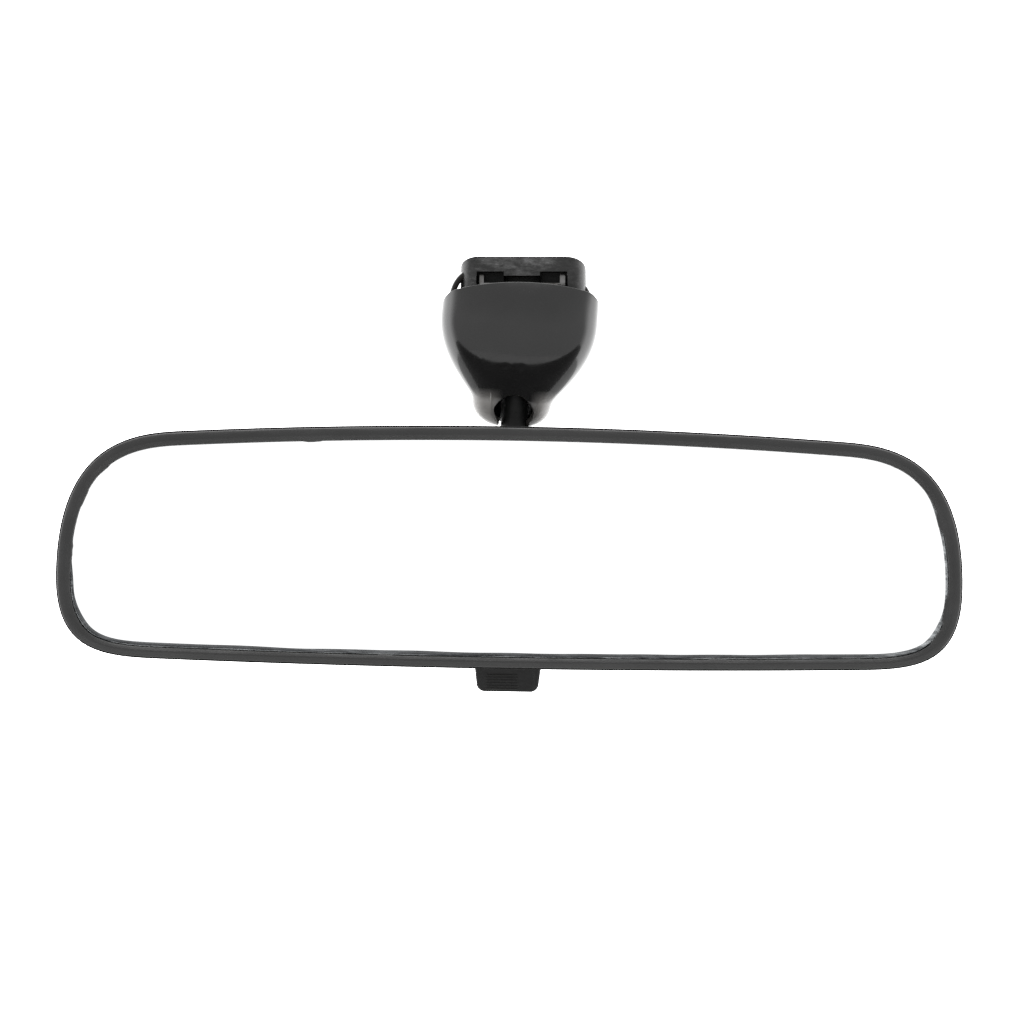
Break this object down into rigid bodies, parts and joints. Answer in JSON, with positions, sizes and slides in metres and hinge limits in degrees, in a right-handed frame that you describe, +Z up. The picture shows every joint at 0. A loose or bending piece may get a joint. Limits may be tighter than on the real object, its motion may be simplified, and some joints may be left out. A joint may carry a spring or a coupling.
{
  "type": "interior rearview mirror",
  "caption": "Wide interior rearview mirror with black bezel, day/night flip tab, ball-jointed stay under a glossy teardrop cover, and a windshield seat.",
  "frame": {"origin": "point on the flat windshield seat face of the mount base, on its solid pad above the button channel", "axes": "+X along the mirror head towards the right as the driver sees it, +Y forwards in the car, away from the glass side, +Z up"},
  "size_m": [0.2506, 0.0661, 0.1239],
  "materials": {
    "gloss_black_plastic": "polished moulded black",
    "satin_black_plastic": "fine satin texture, black",
    "lever_plastic": "matt black, ribbed",
    "base_casting": "worn satin black paint",
    "silvered_glass": "polished, silvered on the back",
    "backing_board": "matt black",
    "foam": "open-cell foam, dark grey",
    "zinc_casting": "raw die casting, dull",
    "black_steel": "black coated steel",
    "plated_steel": "zinc plated",
    "natural_nylon": "natural nylon"
  },
  "bodies": {
    "mount": {"mount_base": "base_casting", "retaining_clip": "plated_steel", "stay_arm": "black_steel", "ball_stud": "black_steel", "stud_cross_pin": "plated_steel", "arm_cover_front": "gloss_black_plastic", "arm_cover_rear": "gloss_black_plastic", "cover_screw": "plated_steel", "base_screw_left": "plated_steel", "base_screw_right": "plated_steel"},
    "pan_stage": {"ball_seat": "natural_nylon"},
    "tilt_stage": {"seat_clamp_ring": "plated_steel"},
    "bracket": {"toggle_bracket": "zinc_casting", "socket_collar": "zinc_casting", "preload_washer": "plated_steel"},
    "head": {"mirror_case": "satin_black_plastic", "bezel": "satin_black_plastic", "prism_glass": "silvered_glass", "glass_backing": "backing_board", "glass_pad_left": "foam", "glass_pad_right": "foam", "flip_pivot_pin": "plated_steel", "pin_clip_left": "plated_steel", "pin_clip_right": "plated_steel", "lever_pin": "plated_steel", "detent_spring": "plated_steel", "detent_screw": "plated_steel"},
    "lever": {"day_night_lever": "lever_plastic", "lever_link_pin": "plated_steel"}
  },
  "joints": [
    {"name": "pan", "type": "hinge", "parent": "mount", "child": "pan_stage", "pos_m": [0, -0.014, -0.0741], "axis": [0, 0, 1], "range_deg": [-18, 18]},
    {"name": "tilt", "type": "hinge", "parent": "pan_stage", "child": "tilt_stage", "pos_m": [0, -0.014, -0.0741], "axis": [1, 0, 0], "range_deg": [-12, 12]},
    {"name": "roll", "type": "hinge", "parent": "tilt_stage", "child": "bracket", "pos_m": [0, -0.014, -0.0741], "axis": [0, 1, 0], "range_deg": [-10, 10]},
    {"name": "night_flip", "type": "hinge", "parent": "bracket", "child": "head", "pos_m": [-0.00058, -0.022, -0.05611], "axis": [-0.9995, 0, -0.0323], "range_deg": [0, 4.5]},
    {"name": "lever_pivot", "type": "hinge", "parent": "head", "child": "lever", "pos_m": [0.00106, -0.024, -0.10708], "axis": [-0.9995, 0, -0.0323], "range_deg": [0, 48]}
  ],
  "couplings": [
    {"joint": "lever_pivot", "follows": "night_flip", "ratio": 10.66}
  ]
}
